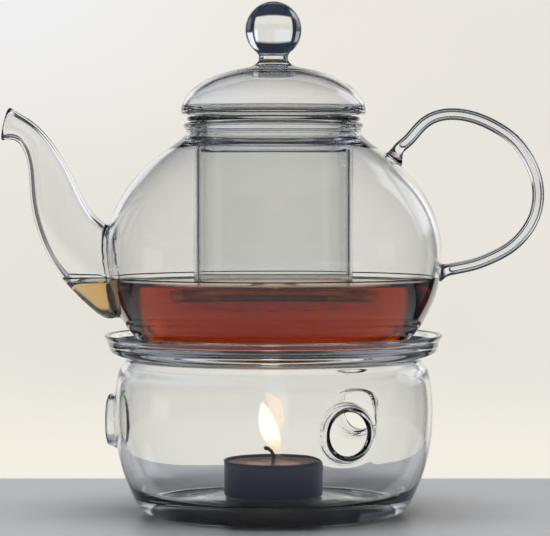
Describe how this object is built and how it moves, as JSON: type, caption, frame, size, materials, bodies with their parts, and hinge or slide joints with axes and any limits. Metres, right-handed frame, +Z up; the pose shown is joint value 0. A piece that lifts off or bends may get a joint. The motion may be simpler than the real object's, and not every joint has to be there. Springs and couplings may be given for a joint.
{
  "type": "glass teapot",
  "caption": "Round clear glass teapot with lift-out infuser and ball-knob lid, standing on its glass tealight warmer.",
  "frame": {"origin": "centre of the set's outline at the table: on the common axis of pot and warmer, in the plane of the warmer's foot ring", "axes": "+Z up, +X towards the handle, -X towards the spout, +Y away from the picture's viewer"},
  "size_m": [0.2079, 0.1298, 0.1957],
  "materials": {
    "warmer_glass": "clear fire-polished borosilicate",
    "pot_glass": "clear fire-polished borosilicate",
    "infuser_glass": "clear drawn tube, faint draw lines",
    "lid_glass": "clear fire-polished borosilicate",
    "tealight_cup": "dark lacquered thin aluminium, satin",
    "wax": "part-molten red-brown paraffin, wet sheen",
    "tinplate": "stamped tinplate",
    "wick": "charred braided cotton"
  },
  "bodies": {
    "warmer": {"warmer_bowl": "warmer_glass", "warmer_tray": "warmer_glass", "vent_ring_front": "warmer_glass", "vent_ring_back": "warmer_glass", "vent_ring_left": "warmer_glass"},
    "tealight": {"tealight_cup": "tealight_cup", "tealight_wax": "wax", "wick_sustainer": "tinplate", "tealight_wick": "wick"},
    "pot": {"pot_bowl": "pot_glass", "pot_neck": "pot_glass", "spout": "pot_glass", "handle": "pot_glass"},
    "infuser": {"infuser_tube": "infuser_glass", "infuser_floor": "infuser_glass", "infuser_rim": "infuser_glass"},
    "lid": {"lid_dome": "lid_glass", "lid_plug": "lid_glass", "lid_knob": "lid_glass"}
  },
  "joints": [
    {"name": "tealight_lift", "type": "slide", "parent": "warmer", "child": "tealight", "axis": [0, 0, 1], "range_m": [0, 0.03]},
    {"name": "pot_lift", "type": "slide", "parent": "warmer", "child": "pot", "axis": [0, 0, 1], "range_m": [0, 0.06]},
    {"name": "infuser_lift", "type": "slide", "parent": "pot", "child": "infuser", "axis": [0, 0, 1], "range_m": [0, 0.07]},
    {"name": "lid_lift", "type": "slide", "parent": "infuser", "child": "lid", "axis": [0, 0, 1], "range_m": [0, 0.03]}
  ]
}
